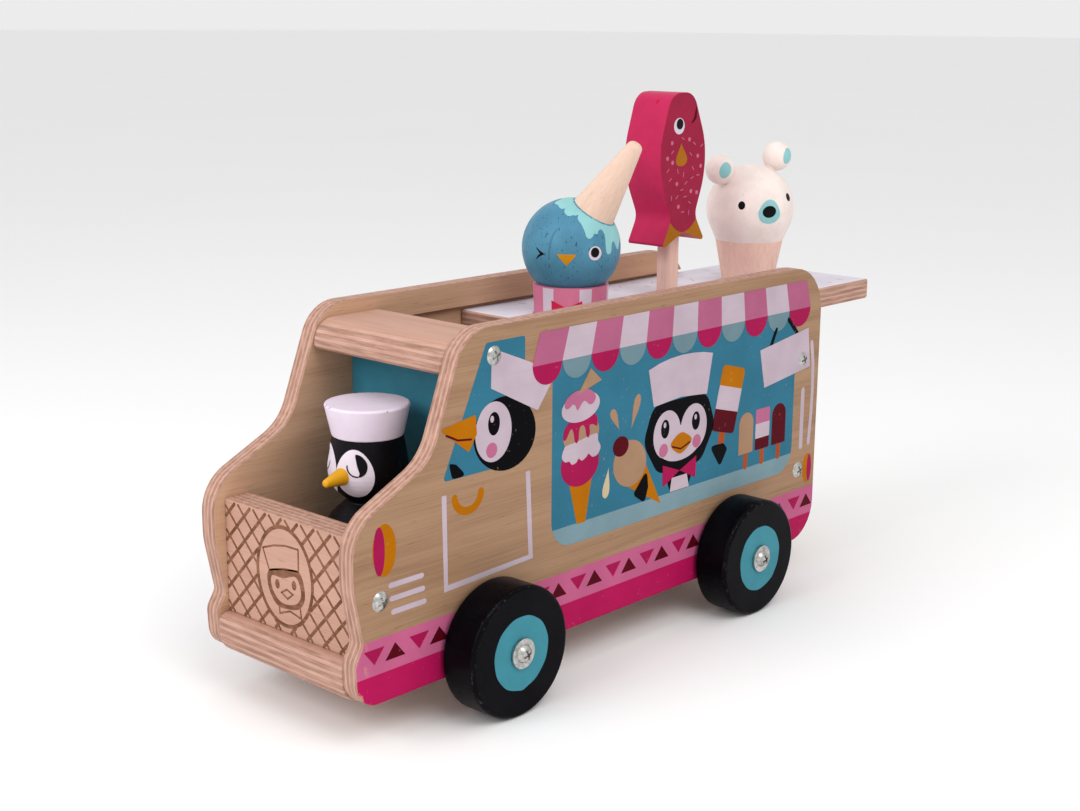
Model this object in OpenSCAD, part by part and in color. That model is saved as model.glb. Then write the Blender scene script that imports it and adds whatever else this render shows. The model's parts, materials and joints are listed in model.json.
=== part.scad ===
// Wooden toy ice cream truck with four rolling wheels, a sliding serving tray,
// three lift-out ice cream figures and a penguin driver.
// +X points to the nose, +Y to the truck's left and +Z up. The ground is Z = 0.

/* [Body] */
// Length of a side wall from tail to nose
body_len = 333; // [300:1:400]
// Width across the outer faces of the two walls
body_w = 102; // [94:1:124]
// Height of the walls' top edge above the ground
roof_z = 171.5; // [166:0.5:206]
// Height of the body's underside above the ground
belly_z = 20.5; // [17:0.5:23]
// Thickness of a side wall
wall_t = 9; // [8:0.5:11]
// Radius of the walls' top corner at the tail
tail_top_r = 25; // [10:1:30]
// Radius of the walls' bottom corner at the tail
tail_low_r = 20; // [6:1:24]
// Radius of the walls' corner where the screen meets the roof
brow_r = 20; // [8:1:24]
// Radius of the hollow between screen and bonnet
scuttle_r = 25; // [10:1:30]
// Radius of the bonnet's front corner
bonnet_r = 21; // [10:1:24]
// Height of the bonnet's front corner
bonnet_z = 98; // [90:1:104]

/* [Boards] */
// Thickness of the floor board
floor_t = 19; // [16:0.5:22]
// Thickness of the front panel
panel_t = 13.5; // [9:0.5:16]
// Height of the front panel's top edge above the ground
panel_top_z = 92; // [80:1:98]
// How far the front panel is set back from the nose
panel_back = 6; // [4:0.5:12]
// Thickness of the roof block
block_t = 14; // [10:0.5:16]
// Length of the roof block
block_len = 41; // [30:1:48]
// How far the roof block's top lies under the walls' top edge
block_drop = 6; // [4:0.5:10]
// Thickness of the cab's back wall and of the rear panel
partition_t = 9; // [5:0.5:10]
// How far the rear panel is set in from the walls' tail
rear_inset = 11.5; // [6:0.5:14]

/* [Tray] */
// Thickness of the tray
tray_t = 11; // [9:0.5:13]
// Length of the tray
tray_len = 232; // [224:1:240]
// How far the tray is pulled out behind the tail
tray_out = 58; // [20:1:80]
// Depth of the grooves that carry the tray
groove_d = 4; // [3:0.5:5]
// Play between the tray's top and the groove
groove_play = 2; // [1:0.5:3]
// Gap between a side of the tray and the groove's bottom
tray_gap = 0.5; // [0.3:0.1:1]
// Distance between neighbouring seats of the tray
seat_pitch = 74.3; // [66:0.1:78]
// How far the middle seat lies ahead of the tray's middle
seat_shift = 10.7; // [-4:0.1:12]
// Depth of a seat in the tray
seat_d = 8; // [5:0.5:8.5]
// Play around a figure in its seat
seat_play = 0.3; // [0.2:0.05:0.6]

/* [Wheels] */
// Radius of a wheel
wheel_r = 30; // [28:0.5:34]
// Thickness of a wheel
wheel_t = 19; // [15:0.5:22]
// Gap between a wheel and its wall
wheel_gap = 1.5; // [1:0.25:4]
// Distance between the front and rear axles
wheelbase = 177.7; // [160:0.1:190]
// Distance from the walls' tail to the rear axle
rear_axle_x = 78.1; // [70:0.1:84]
// Radius of the screws that the wheels turn on
axle_r = 2.5; // [2:0.1:3]
// Play between a wheel's bore and its screw
bore_play = 0.08; // [0.05:0.01:0.15]
// Radius of the washer under an axle screw's head
washer_r = 6.85; // [5.5:0.05:8]

/* [Ice creams] */
// Radius of the bird ice cream's ball
bird_ball_r = 24.2; // [20:0.1:26]
// Height of the bird's striped cup
bird_cup_h = 23; // [20:0.5:30]
// Radius of the bird's cup at its rim
bird_cup_r = 18.6; // [16:0.1:20]
// Lean of the cone hat on the bird
hat_lean = 32.5; // [0:0.5:45]
// Length of the bird's cone hat
hat_len = 39.5; // [30:0.5:46]
// Width of the fish lolly
fish_w = 36; // [30:1:42]
// Height of the fish lolly without its stick
fish_h = 78; // [68:1:90]
// Thickness of the fish lolly
fish_t = 23; // [14:1:28]
// Width of the lolly's square stick
stick_w = 9; // [7:0.5:10]
// Length of the stick between the seat's bottom and the tail's notch
stick_h = 42.5; // [34:0.5:54]
// Radius of the bear's head
bear_r = 24; // [20:0.1:26]
// Height of the bear's cup
bear_cup_h = 31; // [24:0.5:38]
// Radius of the bear's cup at its rim
bear_cup_r = 18.6; // [15:0.1:20]
// Radius of a bear's ear
ear_r = 8; // [6:0.1:10]

/* [Driver] */
// Radius of the driver's head
driver_head_r = 18.5; // [14:0.1:20]
// Height of the driver up to the hat
driver_h = 80.5; // [70:0.5:84]
// Height of the driver's hat
cap_h = 14.5; // [12:0.5:20]
// Radius of the hat's flat top
cap_r = 19.2; // [16:0.1:21]

/* [Hidden] */
$fn = 96;

// Clearances, small roundings and how far a cut reaches past a face
fit = 0.05;
past = 1;
corner_steps = 8;

// Inside of the body
inner_w = body_w - 2 * wall_t;
floor_top = belly_z + floor_t;

// Side wall outline: each row is a corner's X, Z and rounding radius
bump_z = belly_z + floor_t;
notch_z = bump_z + 8.5;
notch_in = 5;
screen_x = body_len - 64;
scuttle_x = body_len - 44;
scuttle_z = bonnet_z + 21;
WALL_OUTLINE = [
    [0, belly_z, tail_low_r],
    [body_len - 1.5, belly_z, 11],
    [body_len - 0.5, bump_z + 1, 8],
    [body_len - notch_in, notch_z, 4],
    [body_len, notch_z + 25, 40],
    [body_len, bonnet_z, bonnet_r],
    [scuttle_x, scuttle_z, scuttle_r],
    [screen_x, roof_z, brow_r],
    [0, roof_z, tail_top_r]];

// Boards between the walls
cab_len = 98;
partition_in = 8;
block_top_z = roof_z - block_drop;
block_low_z = block_top_z - block_t;
block_rear_x = body_len - cab_len;
block_nose_x = block_rear_x + block_len;
panel_nose_x = body_len - panel_back;
partition_x = block_rear_x + partition_in;
bumper_r = 9;

// Tray and its grooves
tray_drop = 5.3;
fish_back = 2;
tray_low_z = block_low_z - tray_drop;
tray_top_z = tray_low_z + tray_t;
tray_w = inner_w + 2 * (groove_d - tray_gap);
tray_nose_x = block_rear_x - tray_out;
tray_tail_x = tray_nose_x - tray_len;
seat_z = tray_top_z - seat_d;
middle_seat_x = tray_nose_x - tray_len / 2 + seat_shift;
bird_x = middle_seat_x + seat_pitch;
fish_x = middle_seat_x - fish_back;
bear_x = middle_seat_x - seat_pitch;
rear_panel_top_z = tray_low_z - 1;

// Wheels and their screws
axle_z = wheel_r;
front_axle_x = rear_axle_x + wheelbase;
bore_r = axle_r + bore_play;
wheel_edge = 2;
washer_t = 1.2;
washer_gap = 0.3;
axle_head_r = 4.3;
axle_head_h = 2.8;
axle_bite = 22;

// Wall screws: each row is a screw's X and Z
wall_screw_r = 2;
wall_screw_len = 28;
wall_screw_head_r = 4.4;
wall_screw_head_h = 1.8;
WALL_SCREWS = [
    [panel_nose_x - panel_t / 2 - 1.5, floor_top + 25.5],
    [partition_x + partition_t, block_low_z + block_t / 2],
    [rear_inset + partition_t / 2, roof_z - 49.5],
    [rear_inset + partition_t / 2, floor_top + 21]];

// Figures: where each looks, measured from +X
bird_turn = 43;
bear_turn = 72;
driver_turn = 8;
driver_x = body_len - 53.5;

// The truck's own middle, which becomes X = 0
mid_x = (body_len + tray_tail_x) / 2;

// ---- Rounded outlines ----

function unit(v) = v / norm(v);
function wrap(angle) = angle > 180 ? angle - 360 : angle < -180 ? angle + 360 : angle;
// Points of the arc that rounds corner p, with neighbours a and b, to radius r
function corner_arc(a, p, b, r) =
    let (u = unit(a - p), v = unit(b - p), half = acos(u * v) / 2,
         centre = p + unit(u + v) * r / sin(half),
         from = p + u * r / tan(half) - centre, to = p + v * r / tan(half) - centre,
         start = atan2(from.y, from.x), sweep = wrap(atan2(to.y, to.x) - start))
    [for (i = [0:corner_steps]) centre + r * [cos(start + sweep * i / corner_steps),
                                             sin(start + sweep * i / corner_steps)]];
// Closed outline of a list of [x, y, radius] corners
function rounded(corners) =
    let (n = len(corners), flat = [for (c = corners) [c.x, c.y]])
    [for (i = [0:n - 1]) each corners[i].z == 0 ? [flat[i]]
        : corner_arc(flat[(i + n - 1) % n], flat[i], flat[(i + 1) % n], corners[i].z)];

// ---- Shared shapes ----

// A board with its outline in X and Z, centred on Y = 0
module board(outline, thickness) {
    rotate([90, 0, 0]) linear_extrude(thickness, center = true) polygon(outline);
}

// A box from a low corner to a high corner
module box(low, high) {
    translate(low) cube(high - low);
}

// Everything drawn inside turned so that its +Z points to the given side, +1 left or -1 right
module towards_side(side) {
    rotate([-90 * side, 0, 0]) children();
}

// A domed screw head with a cross recess, seated on Z = 0
module screw_head(radius, height) {
    slot_w = radius * 0.24;
    difference() {
        rotate_extrude() intersection() {
            translate([0, height - radius * radius / height / 2 - height / 2])
                circle(radius * radius / height / 2 + height / 2);
            square([radius, height]);
        }
        for (turn = [0, 90])
            rotate([0, 0, turn + 20]) translate([-radius * 0.55, -slot_w / 2, height * 0.35])
                cube([radius * 1.1, slot_w, height]);
    }
}

// ---- Body ----

module wall(side) {
    mid_y = side * (body_w - wall_t) / 2;
    groove_y = side * (inner_w / 2 + groove_d);
    color("burlywood") difference() {
        translate([0, mid_y, 0]) board(rounded(WALL_OUTLINE), wall_t);
        box([-past, min(groove_y, 0), tray_low_z], [block_rear_x, max(groove_y, 0), tray_top_z + groove_play]);
        for (place = WALL_SCREWS) wall_hole(place, mid_y, wall_screw_r);
        for (x = [rear_axle_x, front_axle_x]) wall_hole([x, axle_z], mid_y, axle_r);
    }
}

module wall_hole(place, mid_y, radius) {
    translate([place.x, mid_y, place.y]) rotate([90, 0, 0])
        cylinder(wall_t + 2 * past, r = radius + fit, center = true);
}

// The blind holes that the screws of both sides bite into
module screw_holes(places, radius, bite) {
    for (place = places, side = [-1, 1])
        translate([place.x, side * (body_w / 2 - bite - past), place.y]) towards_side(side)
            cylinder(bite + 2 * past, r = radius + fit);
}

module floor_board() {
    rear_x = rear_inset + partition_t;
    outline = [[rear_x, belly_z, 0], [body_len - 1, belly_z, bumper_r], [body_len, floor_top, 4],
               [rear_x, floor_top, 0]];
    color("wheat") difference() {
        board(rounded(outline), inner_w);
        screw_holes([[rear_axle_x, axle_z], [front_axle_x, axle_z]], axle_r, axle_bite);
    }
}

module front_panel() {
    color("bisque") difference() {
        box([panel_nose_x - panel_t, -inner_w / 2, floor_top], [panel_nose_x, inner_w / 2, panel_top_z]);
        screw_holes([WALL_SCREWS[0]], wall_screw_r, wall_screw_len);
    }
}

module roof_block() {
    outline = [[block_rear_x, block_low_z, 0], [block_nose_x, block_low_z, 3],
               [block_nose_x - 2.5, block_top_z, 11], [block_rear_x, block_top_z, 0]];
    color("wheat") difference() {
        board(rounded(outline), inner_w);
        screw_holes([WALL_SCREWS[1]], wall_screw_r, wall_screw_len);
    }
}

module cab_partition() {
    color("teal") box([partition_x, -inner_w / 2, floor_top],
                      [partition_x + partition_t, inner_w / 2, block_low_z]);
}

module rear_panel() {
    color("burlywood") difference() {
        box([rear_inset, -inner_w / 2, belly_z], [rear_inset + partition_t, inner_w / 2, rear_panel_top_z]);
        screw_holes([WALL_SCREWS[2], WALL_SCREWS[3]], wall_screw_r, wall_screw_len);
    }
}

module wall_screws(side) {
    color("silver") for (place = WALL_SCREWS)
        translate([place.x, side * body_w / 2, place.y]) towards_side(side) {
            screw_head(wall_screw_head_r, wall_screw_head_h);
            translate([0, 0, -wall_screw_len]) cylinder(wall_screw_len, r = wall_screw_r);
        }
}

// ---- Wheels ----

// Moves its children to a wheel's axle, with Z = 0 on the wall's outer face and +Z outwards
module at_wheel(end, side) {
    translate([end == "front" ? front_axle_x : rear_axle_x, side * body_w / 2, axle_z])
        towards_side(side) children();
}

module wheel(end, side) {
    profile = rounded([[bore_r, 0, 0], [wheel_r, 0, wheel_edge], [wheel_r, wheel_t, wheel_edge],
                       [bore_r, wheel_t, 0]]);
    color("black") at_wheel(end, side) translate([0, 0, wheel_gap]) rotate_extrude() polygon(profile);
}

module washer(end, side) {
    color("gainsboro") at_wheel(end, side) translate([0, 0, wheel_gap + wheel_t + washer_gap]) difference() {
        cylinder(washer_t, r = washer_r);
        translate([0, 0, -past]) cylinder(washer_t + 2 * past, r = axle_r + fit);
    }
}

module axle_screw(end, side) {
    seat = wheel_gap + wheel_t + washer_gap + washer_t;
    shank = seat + axle_bite;
    color("silver") at_wheel(end, side) {
        translate([0, 0, seat]) screw_head(axle_head_r, axle_head_h);
        translate([0, 0, seat - shank]) cylinder(shank, r = axle_r);
    }
}

// ---- Tray ----

module tray() {
    color("lavender") difference() {
        board(rounded([[tray_tail_x, tray_low_z, 1.5], [tray_nose_x, tray_low_z, 1.5],
                       [tray_nose_x, tray_top_z, 1.5], [tray_tail_x, tray_top_z, 1.5]]), tray_w);
        translate([bird_x, 0, seat_z]) cylinder(seat_d + past, r = cup_r_at(bird_cup, seat_d) + seat_play);
        translate([bear_x, 0, seat_z])
            cylinder(seat_d + past, r1 = bear_cup.x + seat_play, r2 = cup_r_at(bear_cup, seat_d + past) + seat_play);
        translate([fish_x, 0, seat_z]) stick_bar(stick_w + 2 * seat_play, seat_d + past);
    }
}

// ---- Ice creams: each cup is [bottom radius, rim radius, height] ----

bird_cup = [bird_cup_r - 1, bird_cup_r, bird_cup_h];
bear_cup = [bear_cup_r - 6, bear_cup_r, bear_cup_h];
function cup_r_at(cup, height) = cup.x + (cup.y - cup.x) * height / cup.z;
// Height of a ball's middle over the rim of the cup that it sits in
function ball_rise(ball_r, cup) = sqrt(ball_r * ball_r - (cup.y - cup_lip) * (cup.y - cup_lip));

cup_lip = 2;
bird_ball_z = bird_cup_h + ball_rise(bird_ball_r, bird_cup);
bear_head_z = bear_cup_h + ball_rise(bear_r, bear_cup);
hat_base_r = 11;
hat_seat = sqrt(bird_ball_r * bird_ball_r - hat_base_r * hat_base_r);
hat_tip_r = 2.4;
hat_turn = 69;
stick_set = 2.3;
fish_lean = 2.5;
notch = 7;
ear_ahead = 2.7;
ear_spread = 19.2;
ear_rise = 25.3;
ear_neck_r = 3.5;
ear_tip = 9;

module cup(shape, ball_r) {
    difference() {
        cylinder(shape.z, r1 = shape.x, r2 = shape.y);
        translate([0, 0, shape.z + ball_rise(ball_r, shape)]) sphere(ball_r + fit);
    }
}

module at_bird() {
    translate([bird_x, 0, seat_z]) rotate([0, 0, bird_turn]) children();
}

module bird_cup() {
    color("pink") at_bird() cup(bird_cup, bird_ball_r);
}

// Moves its children to the ball's middle, with +Z along the leaning cone hat
module along_hat() {
    at_bird() translate([0, 0, bird_ball_z]) rotate([0, hat_lean, hat_turn]) children();
}

module bird_ball() {
    color("cadetblue") along_hat() difference() {
        sphere(bird_ball_r);
        translate([0, 0, hat_seat]) cylinder(bird_ball_r, r = bird_ball_r);
    }
}

module bird_cone_hat() {
    profile = rounded([[0, 0, 0], [hat_base_r, 0, 0], [hat_tip_r + 1, hat_len, 3], [0, hat_len, 0]]);
    color("moccasin") along_hat() translate([0, 0, hat_seat]) rotate_extrude() polygon(profile);
}

// A square bar with rounded corners standing on Z = 0
module stick_bar(width, height) {
    half = width / 2;
    linear_extrude(height) polygon(rounded([[-half, -half, 2], [half, -half, 2], [half, half, 2], [-half, half, 2]]));
}

module fish_stick() {
    color("moccasin") translate([fish_x, 0, seat_z]) stick_bar(stick_w, stick_h + stick_w);
}

module fish_body() {
    half = fish_w / 2;
    top = fish_h - notch;
    right = [[half - 9, top, 10], [half + 0.6, top - 26, 38], [half, 28, 46], [half - 8.5, 8, 8],
             [half, -notch, 1.2]];
    left = [for (i = [len(right) - 1:-1:0]) [-right[i].x, right[i].y, right[i].z]];
    color("crimson") translate([fish_x, 0, seat_z + stick_h]) difference() {
        translate([stick_set, 0, 0]) rotate([0, fish_lean, 0])
            board(rounded(concat(right, [[0, 0, 3]], left)), fish_t);
        translate([0, 0, -notch]) stick_bar(stick_w + 2 * fit, notch + stick_w + fit);
    }
}

module at_bear() {
    translate([bear_x, 0, seat_z]) rotate([0, 0, bear_turn]) children();
}

module bear_cup() {
    color("moccasin") at_bear() cup(bear_cup, bear_r);
}

// The head is a ball whose chin runs down to the cup's rim along a tangent
module bear_head() {
    rise = ball_rise(bear_r, bear_cup);
    reach = norm([bear_cup.y, rise]);
    chin = acos(bear_r / reach) - atan(rise / bear_cup.y);
    color("linen") at_bear() translate([0, 0, bear_head_z]) union() {
        sphere(bear_r);
        translate([0, 0, -rise])
            cylinder(rise + bear_r * sin(chin), r1 = bear_cup.y, r2 = bear_r * cos(chin));
    }
}

// An ear is a small ball on a short neck that ends on the head
module bear_ear(side) {
    middle = [ear_ahead, side * ear_spread, ear_rise];
    color("linen") at_bear() translate([0, 0, bear_head_z]) rotate([ear_tip, 0, 0]) difference() {
        rotate([0, acos(middle.z / norm(middle)), atan2(middle.y, middle.x)]) union() {
            translate([0, 0, norm(middle)]) sphere(ear_r);
            cylinder(norm(middle), r = ear_neck_r);
        }
        sphere(bear_r + fit);
    }
}

// ---- Driver ----

cap_low_z = floor_top + driver_h;
cap_low_r = 15.9;
beak_r = 4.6;
beak_len = 14.5;
beak_drop = 15.5;
neck_z = 51.5;

module at_driver() {
    translate([driver_x, 0, floor_top]) rotate([0, 0, driver_turn]) children();
}

module driver_shape() {
    rotate_extrude() polygon(rounded([
        [0, 0, 0], [driver_head_r - 1, 0, 2], [driver_head_r + 2.5, neck_z - 11, 14],
        [driver_head_r / 2, neck_z, 1.2], [driver_head_r + 0.9, neck_z + 6, 16],
        [cap_low_r, driver_h, 0], [0, driver_h, 0]]));
}

module driver_body() {
    color("black") at_driver() driver_shape();
}

module driver_hat() {
    profile = rounded([[0, 0, 0], [cap_low_r, 0, 0.8], [cap_r, cap_h, 1], [0, cap_h, 0]]);
    color("white") at_driver() translate([0, 0, driver_h]) rotate_extrude() polygon(profile);
}

module driver_beak() {
    color("orange") at_driver() difference() {
        translate([driver_head_r - 4, 0, driver_h - beak_drop]) rotate([0, 94, 0])
            rotate_extrude() polygon(rounded([[0, 0, 0], [beak_r, 0, 0], [1.6, beak_len, 1.4], [0, beak_len, 0]]));
        driver_shape();
    }
}

// ---- Nodes ----

translate([-mid_x, 0, 0]) {
    wall(1);  // left_wall
    wall(-1);  // right_wall
    floor_board();
    front_panel();
    roof_block();
    cab_partition();
    rear_panel();
    wall_screws(1);  // left_wall_screws
    wall_screws(-1);  // right_wall_screws
    for (end = ["front", "rear"], side = [1, -1]) {
        place = str(end, "_", side > 0 ? "left" : "right");
        wheel(end, side);
        washer(end, side);
        axle_screw(end, side);
    }
    tray();
    driver_body();
    driver_hat();
    driver_beak();
    bird_cup();
    bird_ball();
    bird_cone_hat();
    fish_body();
    fish_stick();
    bear_cup();
    bear_head();
    bear_ear(1);  // bear_ear_left
    bear_ear(-1);  // bear_ear_right
}
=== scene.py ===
"""The looks of a wooden toy ice cream truck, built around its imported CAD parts.

Artwork is laid out in millimetres. A point on a side wall is (ahead of the tail, above the ground), one on
the front panel is (left of the middle, above the ground), and one on the tray is (ahead of the origin, left).
One on a round figure is in degrees, (turned to its left, upwards), seen from its middle. On the bird's cup
its second number is millimetres above the ground.
"""

import json
import math
import random

import bmesh
import bpy
from mathutils import Matrix, Vector
from mathutils.bvhtree import BVHTree

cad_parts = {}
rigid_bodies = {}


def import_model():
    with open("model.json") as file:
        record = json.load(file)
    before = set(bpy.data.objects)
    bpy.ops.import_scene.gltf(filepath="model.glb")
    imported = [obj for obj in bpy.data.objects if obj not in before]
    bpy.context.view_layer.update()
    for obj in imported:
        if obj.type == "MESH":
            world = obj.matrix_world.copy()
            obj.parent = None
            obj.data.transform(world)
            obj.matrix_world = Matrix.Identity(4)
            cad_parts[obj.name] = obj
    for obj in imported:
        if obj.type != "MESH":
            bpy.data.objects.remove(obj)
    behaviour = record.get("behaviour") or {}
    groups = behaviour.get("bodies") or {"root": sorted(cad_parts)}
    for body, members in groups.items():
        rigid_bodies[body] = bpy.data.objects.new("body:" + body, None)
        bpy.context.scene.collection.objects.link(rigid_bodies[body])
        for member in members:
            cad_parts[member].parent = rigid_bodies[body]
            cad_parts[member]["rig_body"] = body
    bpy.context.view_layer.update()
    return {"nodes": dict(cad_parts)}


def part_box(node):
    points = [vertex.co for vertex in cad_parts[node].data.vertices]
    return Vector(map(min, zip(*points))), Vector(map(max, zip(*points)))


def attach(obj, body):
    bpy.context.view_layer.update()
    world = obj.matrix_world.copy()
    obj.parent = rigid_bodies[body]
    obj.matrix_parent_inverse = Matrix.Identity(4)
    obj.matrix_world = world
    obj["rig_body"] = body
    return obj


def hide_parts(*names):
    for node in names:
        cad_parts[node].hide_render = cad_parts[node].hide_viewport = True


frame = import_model()

MM = 0.001
# How far each level of print or paint stands proud, and how far all of it reaches into the piece below it
PRINT_STEP = 0.04
PAINT_STEP = 0.08
SUNK = 0.03


# ---- Places taken from the frame ----

wall_low, wall_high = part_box("left_wall")
tray_low, tray_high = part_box("tray")
TAIL = wall_low.x
NOSE = wall_high.x
SIDE = wall_high.y
PANEL_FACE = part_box("front_panel")[1].x

# The way each figure faces, in degrees round from ahead to the left
BIRD_TURN, BEAR_TURN, DRIVER_TURN = 43, 72, 8
# A distance that is clear of every figure, in metres
REACH = 0.2


def middle(node):
    low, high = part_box(node)
    return (low + high) / 2


def on_wall(side):
    """Places a point of the artwork on the outer face of a side wall."""
    return lambda u, v, h: Vector((TAIL + u * MM, side * (SIDE + h * MM), v * MM))


def on_panel(u, v, h):
    return Vector((PANEL_FACE + h * MM, u * MM, v * MM))


def on_tray(u, v, h):
    return Vector((u * MM, v * MM, tray_high.z + h * MM))


def surface_of(node):
    """The surface of a CAD node, to lay paint on."""
    mesh = frame["nodes"][node].data
    return BVHTree.FromPolygons([v.co for v in mesh.vertices], [face.vertices[:] for face in mesh.polygons])


def outward(turn, rise=0):
    """The direction that is turned this far from ahead to the left, and raised this far, in degrees."""
    turn, rise = math.radians(turn), math.radians(rise)
    return Vector((math.cos(rise) * math.cos(turn), math.cos(rise) * math.sin(turn), math.sin(rise)))


def lay_on(surface, centre, out, h):
    """The point h millimetres over the surface, in the direction out from a centre."""
    return surface.ray_cast(centre + out * REACH, -out)[0] + out * h * MM


def on_ball(node, centre, forward):
    """Places (degrees left, degrees up) on a ball-like surface, looked at from its centre."""
    surface = surface_of(node)
    return lambda left, up, h: lay_on(surface, centre, outward(forward + left, up), h)


def around(node, axis, forward):
    """Places (degrees left, millimetres above the ground) on a turned shape with an upright axis."""
    surface = surface_of(node)

    def place(left, height, h):
        return lay_on(surface, Vector((axis.x, axis.y, height * MM)), outward(forward + left), h)

    return place


# ---- Flat outlines ----

def ellipse(u, v, wide, high, tilt=0.0, start=0.0, sweep=360.0, steps=40):
    """Points of an ellipse with these half sizes, or of a part of it."""
    c, s = math.cos(math.radians(tilt)), math.sin(math.radians(tilt))
    points = []
    for i in range(steps if sweep == 360 else steps + 1):
        angle = math.radians(start + sweep * i / steps)
        x, y = wide * math.cos(angle), high * math.sin(angle)
        points.append((u + x * c - y * s, v + x * s + y * c))
    return points


def smooth(points, steps=6):
    """A closed curve through a few points."""
    count = len(points)
    curve = []
    for i in range(count):
        a, b, c, d = (Vector(points[(i + k) % count]) for k in (-1, 0, 1, 2))
        leave = (c - a) / 2
        arrive = (d - b) / 2
        for j in range(steps):
            t = j / steps
            curve.append(tuple(b * (2 * t**3 - 3 * t**2 + 1) + leave * (t**3 - 2 * t**2 + t)
                               + c * (3 * t**2 - 2 * t**3) + arrive * (t**3 - t**2)))
    return curve


def rounded(points, radius):
    """A closed outline whose corners are rounded off, by less than half of each side."""
    count, steps, most = len(points), 6, 0.48
    curve = []
    for i in range(count):
        a, p, b = (Vector(points[(i + k) % count]) for k in (-1, 0, 1))
        to_a, to_b = a - p, b - p
        half = to_a.angle(to_b) / 2
        cut = min(radius / math.tan(half), to_a.length * most, to_b.length * most)
        start, end = p + to_a.normalized() * cut, p + to_b.normalized() * cut
        for j in range(steps + 1):
            t = j / steps
            curve.append(tuple(start * (1 - t) ** 2 + p * 2 * t * (1 - t) + end * t**2))
    return curve


def stroke(points, width, cap=6):
    """The outline of a line of even width, with cap steps round each end."""
    points = [Vector(p) for p in points]
    left, right = [], []
    for i, p in enumerate(points):
        before = (p - points[i - 1]).normalized() if i else None
        after = (points[i + 1] - p).normalized() if i < len(points) - 1 else None
        along = ((before or after) + (after or before)).normalized()
        across = Vector((-along.y, along.x))
        spread = width / 2 / max(0.5, along.dot(before or after))
        left.append(p + across * spread)
        right.append(p - across * spread)

    def round_end(centre, first):
        arm = first - centre
        return [centre + Matrix.Rotation(-math.pi * k / cap, 2) @ arm for k in range(1, cap)]

    loop = left + round_end(points[-1], left[-1]) + right[::-1] + round_end(points[0], right[0])
    return [tuple(p) for p in loop]


def arc_line(u, v, wide, high, start, sweep, steps=16):
    return ellipse(u, v, wide, high, start=start, sweep=sweep, steps=steps)


def mirrored(points, at):
    return [(2 * at - u, v) for u, v in points]


def drop(tip, foot, width):
    """A drop with its point at tip and its round end at foot."""
    steps, fullness = 18, 0.77
    tip, foot = Vector(tip), Vector(foot)
    along = foot - tip
    across = Vector((-along.y, along.x)).normalized() * width
    points = []
    for i in range(steps):
        angle = 2 * math.pi * i / steps
        points.append(tuple(tip + along * (1 - math.cos(angle)) / 2
                            + across * fullness * math.sin(angle) * math.sin(angle / 2) ** 2))
    return points


# ---- Thin shapes laid on a surface ----

def close_slab(mesh, flat, top, low):
    """Builds a thin closed slab into the mesh: the flat shape on both sets of corners, and its rim."""
    made = []
    for face in flat.faces:
        made.append(mesh.faces.new([top[v] for v in face.verts]))
        made.append(mesh.faces.new([low[v] for v in reversed(face.verts)]))
        for loop in face.loops:
            if loop.edge.is_boundary:
                a, b = loop.vert, loop.link_loop_next.vert
                made.append(mesh.faces.new((top[b], top[a], low[a], low[b])))
    return made


class Artwork:
    """Painted shapes, each a thin closed slab on a surface, gathered into one piece."""

    def __init__(self, name, body, place, step=PRINT_STEP, cell=0.0):
        self.name, self.body, self.place, self.step, self.cell = name, body, place, step, cell
        self.mesh = bmesh.new()
        self.materials = []

    def add(self, material, outline, level=1):
        """Adds a flat shape; its material is one of the inks by name, or a material."""
        flat = bmesh.new()
        flat.faces.new([flat.verts.new((u, v, 0)) for u, v in outline])
        self.lay(material, flat, level)

    def ring(self, material, outer, inner, level=1):
        """A band between two outlines with as many points."""
        flat = bmesh.new()
        far = [flat.verts.new((u, v, 0)) for u, v in outer]
        near = [flat.verts.new((u, v, 0)) for u, v in inner]
        for i in range(len(far)):
            flat.faces.new((far[i - 1], far[i], near[i], near[i - 1]))
        self.lay(material, flat, level)

    def lay(self, material, flat, level):
        material = INK[material] if isinstance(material, str) else material
        bmesh.ops.recalc_face_normals(flat, faces=flat.faces)
        if self.cell:
            self.divide(flat)
        if material not in self.materials:
            self.materials.append(material)
        thick = level * self.step
        top = {v: self.mesh.verts.new(self.place(v.co.x, v.co.y, thick)) for v in flat.verts}
        low = {v: self.mesh.verts.new(self.place(v.co.x, v.co.y, -SUNK)) for v in flat.verts}
        made = close_slab(self.mesh, flat, top, low)
        for face in made:
            face.material_index = self.materials.index(material)
        bmesh.ops.recalc_face_normals(self.mesh, faces=made)
        flat.free()

    def divide(self, flat):
        """Cuts the flat shape into cells, so that it can follow a curved surface."""
        bmesh.ops.triangulate(flat, faces=flat.faces)
        for axis in (0, 1):
            spots = [v.co[axis] for v in flat.verts]
            line = math.ceil(min(spots) / self.cell) * self.cell
            while line < max(spots):
                point, normal = Vector(), Vector()
                point[axis], normal[axis] = line, 1
                everything = flat.verts[:] + flat.edges[:] + flat.faces[:]
                bmesh.ops.bisect_plane(flat, geom=everything, plane_co=point, plane_no=normal, dist=1e-5)
                line += self.cell

    def finish(self):
        return make_piece(self.name, self.mesh, self.materials, self.body)


def link(name, data):
    thing = bpy.data.objects.new(name, data)
    bpy.context.scene.collection.objects.link(thing)
    return thing


def make_piece(name, mesh, materials, body, sharp=35):
    """Makes a piece that rides on a body, shaded smooth up to the sharp angle in degrees."""
    data = bpy.data.meshes.new(name)
    mesh.to_mesh(data)
    mesh.free()
    data.polygons.foreach_set("use_smooth", [True] * len(data.polygons))
    data.set_sharp_from_angle(angle=math.radians(sharp))
    for material in materials:
        data.materials.append(material)
    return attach(link(name, data), body)


# ---- Materials ----

def tint(red, green, blue):
    """A colour given as 0 to 255 on a screen, as Blender's linear colour."""
    channels = [c / 255 for c in (red, green, blue)]
    return tuple(c / 12.92 if c <= 0.04045 else ((c + 0.055) / 1.055) ** 2.4 for c in channels) + (1.0,)


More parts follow.
